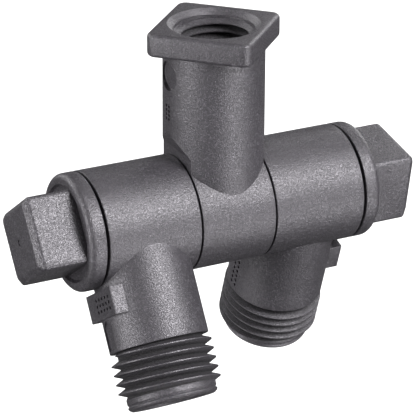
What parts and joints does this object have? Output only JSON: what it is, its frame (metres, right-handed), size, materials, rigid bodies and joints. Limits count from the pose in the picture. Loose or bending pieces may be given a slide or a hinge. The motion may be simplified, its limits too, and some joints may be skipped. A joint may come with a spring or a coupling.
{
  "type": "hose splitter",
  "caption": "Double swivel hose splitter: a threaded square-flanged inlet riser over a barrel, with a threaded outlet turning on each side behind a square-headed bolt.",
  "frame": {"origin": "centre of the inlet's mouth, on the top face of the square flange", "axes": "+Z out of the inlet, along the riser; +X along the swivel axis, towards the right outlet; the swivel axis lies 33 mm below the origin"},
  "size_m": [0.072, 0.041, 0.0651],
  "materials": {
    "tee_nylon": "charcoal glass-filled nylon with a fine sparkling moulded grain",
    "outlet_nylon": "charcoal glass-filled nylon with a fine sparkling moulded grain",
    "bolt_nylon": "charcoal glass-filled nylon, a little coarser in grain",
    "gasket_rubber": "black rubber, matt"
  },
  "bodies": {
    "tee": {"inlet_tee": "tee_nylon", "left_inner_gasket": "gasket_rubber", "right_inner_gasket": "gasket_rubber"},
    "left_swivel": {"left_outlet": "outlet_nylon"},
    "right_swivel": {"right_outlet": "outlet_nylon"},
    "left_washer": {"left_outer_gasket": "gasket_rubber"},
    "right_washer": {"right_outer_gasket": "gasket_rubber"},
    "left_clamp": {"left_bolt": "bolt_nylon"},
    "right_clamp": {"right_bolt": "bolt_nylon"}
  },
  "joints": [
    {"name": "left_outlet_swivel", "type": "hinge", "parent": "tee", "child": "left_swivel", "pos_m": [-0.0159, 0, -0.033], "axis": [1, 0, 0], "range_deg": [-112.3, 177.7]},
    {"name": "right_outlet_swivel", "type": "hinge", "parent": "tee", "child": "right_swivel", "pos_m": [0.0159, 0, -0.033], "axis": [1, 0, 0], "range_deg": [-164, 126]},
    {"name": "left_bolt_travel", "type": "slide", "parent": "tee", "child": "left_washer", "axis": [-1, 0, 0], "range_m": [0, 0.00125]},
    {"name": "left_bolt_turn", "type": "hinge", "parent": "left_washer", "child": "left_clamp", "pos_m": [-0.03, 0, -0.033], "axis": [-1, 0, 0], "range_deg": [0, 360]},
    {"name": "right_bolt_travel", "type": "slide", "parent": "tee", "child": "right_washer", "axis": [1, 0, 0], "range_m": [0, 0.00125]},
    {"name": "right_bolt_turn", "type": "hinge", "parent": "right_washer", "child": "right_clamp", "pos_m": [0.03, 0, -0.033], "axis": [1, 0, 0], "range_deg": [0, 360]}
  ],
  "couplings": [
    {"joint": "left_bolt_turn", "follows": "left_bolt_travel", "rad_per_m": 5026.5},
    {"joint": "right_bolt_turn", "follows": "right_bolt_travel", "rad_per_m": 5026.5}
  ]
}
